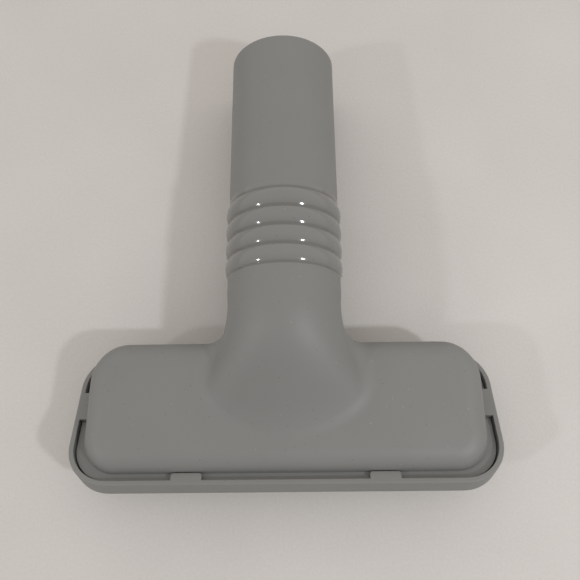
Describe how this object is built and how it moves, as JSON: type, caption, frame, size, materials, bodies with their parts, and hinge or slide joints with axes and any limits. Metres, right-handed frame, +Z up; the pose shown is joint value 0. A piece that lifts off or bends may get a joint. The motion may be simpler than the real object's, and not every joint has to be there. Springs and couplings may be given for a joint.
{
  "type": "vacuum upholstery nozzle",
  "caption": "T-shaped upholstery nozzle: a round ribbed tube blends through a hump into a wide low suction head, closed below by a clip-on base frame with a long slot.",
  "frame": {"origin": "on the table, under the middle of the part's box", "axes": "+X across the head, to the right seen from the front; +Y from the head towards the tube's open end; +Z up, with the part lying on the back edge of its sole and the lower lip of its tube"},
  "size_m": [0.1384, 0.1514, 0.045],
  "materials": {
    "housing_plastic": "moulded mid-grey plastic with a fine matte grain, glossy on the ribs",
    "frame_plastic": "moulded mid-grey plastic with a fine matte grain"
  },
  "bodies": {
    "root": {"nozzle_body": "housing_plastic", "base_frame": "frame_plastic"}
  },
  "joints": []
}
